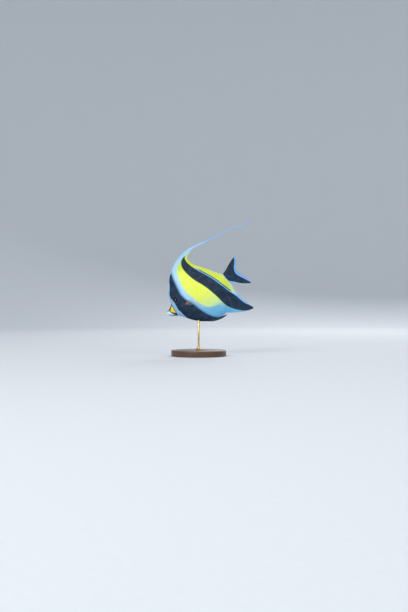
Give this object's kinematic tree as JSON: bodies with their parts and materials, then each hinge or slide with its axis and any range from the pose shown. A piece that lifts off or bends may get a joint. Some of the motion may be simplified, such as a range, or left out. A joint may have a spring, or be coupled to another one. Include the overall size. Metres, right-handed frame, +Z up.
{
  "type": "moorish idol fish display model",
  "caption": "Still, life-size display model of a moorish idol fish swimming nose down, held by one rod under the belly on a round base that stands on a flat surface.",
  "frame": {"origin": "centre of the stand base's underside", "axes": "+Z up, -X towards the fish's snout, +Y towards its right side; the fish's midplane is Y = 0"},
  "size_m": [0.1751, 0.11, 0.2693],
  "materials": {
    "skin": "satin, painted in black, yellow and pale blue bands",
    "fin_membrane": "clear membrane over fine rays",
    "dark_fin": "satin",
    "eye": "polished",
    "horn": "satin",
    "stand_wood": "dark, waxed",
    "stand_brass": "brushed"
  },
  "bodies": {
    "root": {"upper_jaw": "skin", "lower_jaw": "skin", "head": "skin", "trunk": "skin", "tail_base": "skin", "dorsal_fin": "skin", "filament_root": "skin", "filament_middle": "skin", "filament_tip": "skin", "anal_fin": "skin", "caudal_fin": "skin", "pectoral_fin_left": "fin_membrane", "pectoral_fin_right": "fin_membrane", "pelvic_fin_left": "dark_fin", "pelvic_fin_right": "dark_fin", "eye_left": "eye", "eye_right": "eye", "horn_left": "horn", "horn_right": "horn", "stand_base": "stand_wood", "stand_rod": "stand_brass", "stand_collar": "stand_brass"}
  },
  "joints": []
}
